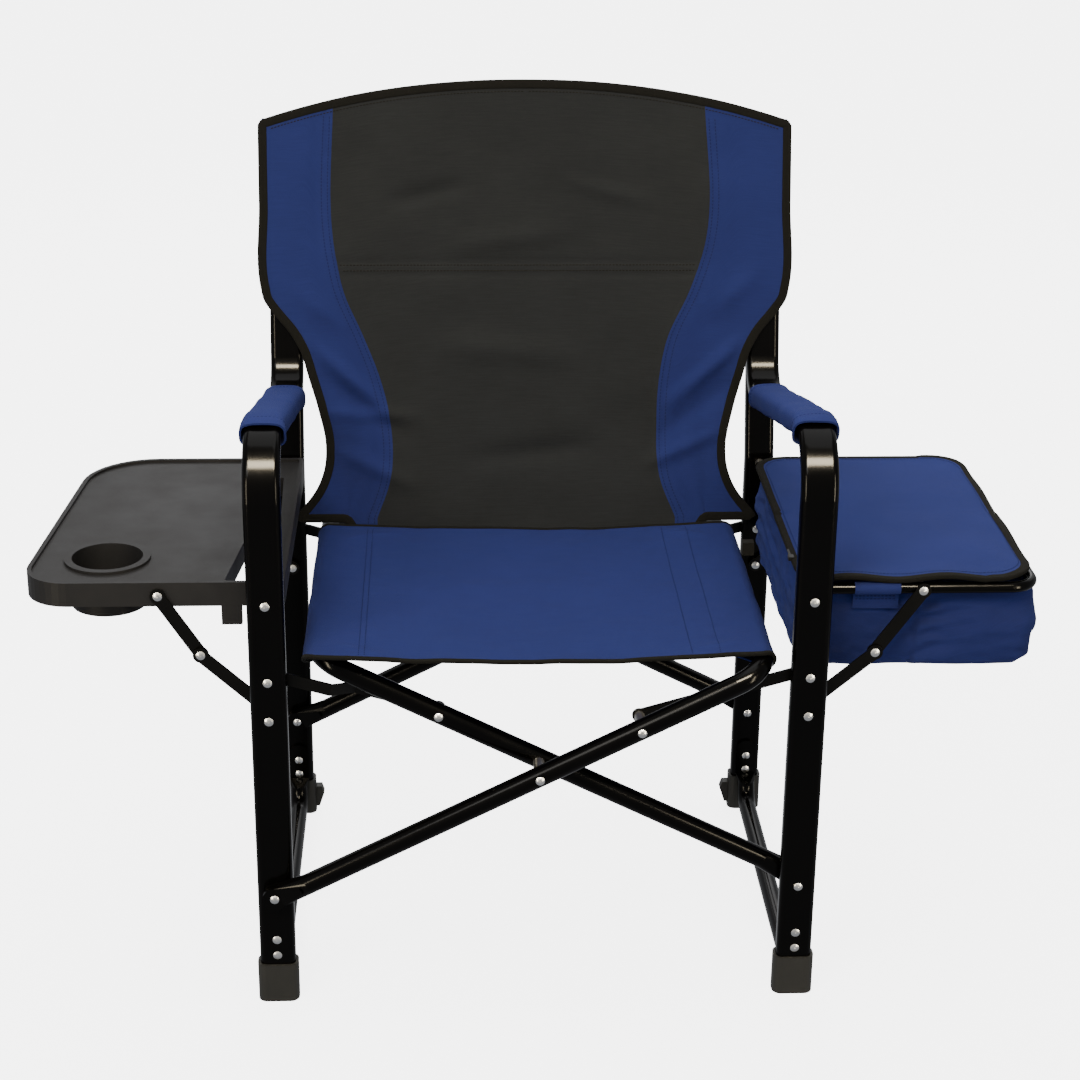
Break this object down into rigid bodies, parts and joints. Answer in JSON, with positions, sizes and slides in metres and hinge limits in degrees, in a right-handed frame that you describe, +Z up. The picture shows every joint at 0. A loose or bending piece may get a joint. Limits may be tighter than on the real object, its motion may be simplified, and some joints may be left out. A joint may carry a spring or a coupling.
{
  "type": "folding camp chair",
  "caption": "Folding director-style camp chair with fabric sling seat and back, armrests, a fold-down side tray with cup holder, and a fold-down cooler bag with a lid.",
  "frame": {"origin": "on the ground, in the middle of the chair's width and depth", "axes": "+Z up, -Y towards the front, -X the tray side, +X the bag side; left and right as seen from the front"},
  "size_m": [1.0599, 0.568, 0.9062],
  "materials": {
    "tube": "gloss",
    "rivet": "satin",
    "boot": "matte",
    "trim": "matte",
    "cloth": "woven, black binding",
    "webbing": "woven",
    "tray": "fine grain"
  },
  "bodies": {
    "left_side": {"arm_tube_left": "tube", "rear_post_left": "tube", "runner_left": "tube", "front_boot_left": "boot", "rear_boot_left": "boot", "arm_pad_left": "cloth", "frame_rivets_left": "rivet", "pivot_rivets_left": "rivet", "tube_plugs_left": "trim", "side_spacers_left": "rivet", "back_sling": "cloth"},
    "cross_frame_a": {"cross_tube_a": "tube", "cross_rivets": "rivet", "cross_spacers": "rivet", "link_rivets_a": "rivet", "seat_sling": "cloth"},
    "cross_frame_b": {"cross_tube_b": "tube", "link_rivets_b": "rivet"},
    "right_side": {"arm_tube_right": "tube", "rear_post_right": "tube", "runner_right": "tube", "front_boot_right": "boot", "rear_boot_right": "boot", "arm_pad_right": "cloth", "frame_rivets_right": "rivet", "pivot_rivets_right": "rivet", "tube_plugs_right": "trim", "side_spacers_right": "rivet"},
    "links_left": {"link_front_left": "tube", "link_rear_left": "tube", "link_tails_left": "rivet"},
    "links_right": {"link_front_right": "tube", "link_rear_right": "tube", "link_tails_right": "rivet"},
    "tray": {"tray": "tray", "tray_strut_rivets": "rivet"},
    "tray_strut_upper": {"tray_strut_upper_front": "tube", "tray_strut_upper_rear": "tube"},
    "tray_strut_lower": {"tray_strut_lower_front": "tube", "tray_strut_lower_rear": "tube", "tray_knuckle_rivets": "rivet"},
    "bag": {"bag_rod": "tube", "bag_body": "cloth", "bag_loops": "cloth", "bag_stay_strap": "webbing", "bag_strut_rivets": "rivet"},
    "bag_lid": {"bag_lid": "cloth", "bag_zip_pull": "trim"},
    "bag_strut_upper": {"bag_strut_upper_front": "tube", "bag_strut_upper_rear": "tube"},
    "bag_strut_lower": {"bag_strut_lower_front": "tube", "bag_strut_lower_rear": "tube", "bag_knuckle_rivets": "rivet"}
  },
  "joints": [
    {"name": "fold", "type": "hinge", "parent": "left_side", "child": "cross_frame_a", "pos_m": [-0.28, 0, 0.132], "axis": [0, -1, 0], "range_deg": [0, 45.18], "deforming": ["seat_sling", "back_sling"]},
    {"name": "cross_scissor", "type": "hinge", "parent": "cross_frame_a", "child": "cross_frame_b", "pos_m": [0, 0, 0.27473], "axis": [0, -1, 0], "range_deg": [-95.98, 0]},
    {"name": "right_side_pivot", "type": "hinge", "parent": "cross_frame_b", "child": "right_side", "pos_m": [0.28, 0, 0.132], "axis": [0, -1, 0], "range_deg": [0, 45.18]},
    {"name": "left_link_pivot", "type": "hinge", "parent": "left_side", "child": "links_left", "pos_m": [-0.28, 0, 0.379], "axis": [0, -1, 0], "range_deg": [0, 83.13]},
    {"name": "right_link_pivot", "type": "hinge", "parent": "right_side", "child": "links_right", "pos_m": [0.28, 0, 0.379], "axis": [0, -1, 0], "range_deg": [-83.13, 0]},
    {"name": "tray_fold", "type": "hinge", "parent": "left_side", "child": "tray", "pos_m": [-0.28, 0, 0.464], "axis": [0, -1, 0], "range_deg": [0, 90]},
    {"name": "tray_lower_strut_pivot", "type": "hinge", "parent": "left_side", "child": "tray_strut_lower", "pos_m": [-0.28, 0, 0.335], "axis": [0, -1, 0], "range_deg": [-47.3, 0]},
    {"name": "tray_upper_strut_pivot", "type": "hinge", "parent": "tray", "child": "tray_strut_upper", "pos_m": [-0.391, 0, 0.464], "axis": [0, -1, 0], "range_deg": [0, 57.43]},
    {"name": "bag_fold", "type": "hinge", "parent": "right_side", "child": "bag", "pos_m": [0.28, 0, 0.464], "axis": [0, 1, 0], "range_deg": [0, 90], "deforming": ["bag_body", "bag_stay_strap"]},
    {"name": "bag_lower_strut_pivot", "type": "hinge", "parent": "right_side", "child": "bag_strut_lower", "pos_m": [0.28, 0, 0.335], "axis": [0, 1, 0], "range_deg": [-49.24, 0]},
    {"name": "bag_upper_strut_pivot", "type": "hinge", "parent": "bag", "child": "bag_strut_upper", "pos_m": [0.398, 0, 0.464], "axis": [0, 1, 0], "range_deg": [0, 55.25]},
    {"name": "bag_lid_hinge", "type": "hinge", "parent": "bag", "child": "bag_lid", "pos_m": [0.272, 0, 0.4755], "axis": [0, -1, 0], "range_deg": [0, 55]}
  ],
  "couplings": [
    {"joint": "cross_scissor", "follows": "fold", "ratio": -2.1245},
    {"joint": "right_side_pivot", "follows": "fold", "ratio": 1},
    {"joint": "left_link_pivot", "follows": "fold", "ratio": 1.8401},
    {"joint": "right_link_pivot", "follows": "fold", "ratio": -1.8401},
    {"joint": "tray_lower_strut_pivot", "follows": "tray_fold", "ratio": -0.52555},
    {"joint": "tray_upper_strut_pivot", "follows": "tray_fold", "ratio": 0.63812},
    {"joint": "bag_lower_strut_pivot", "follows": "bag_fold", "ratio": -0.54707},
    {"joint": "bag_upper_strut_pivot", "follows": "bag_fold", "ratio": 0.61384}
  ]
}
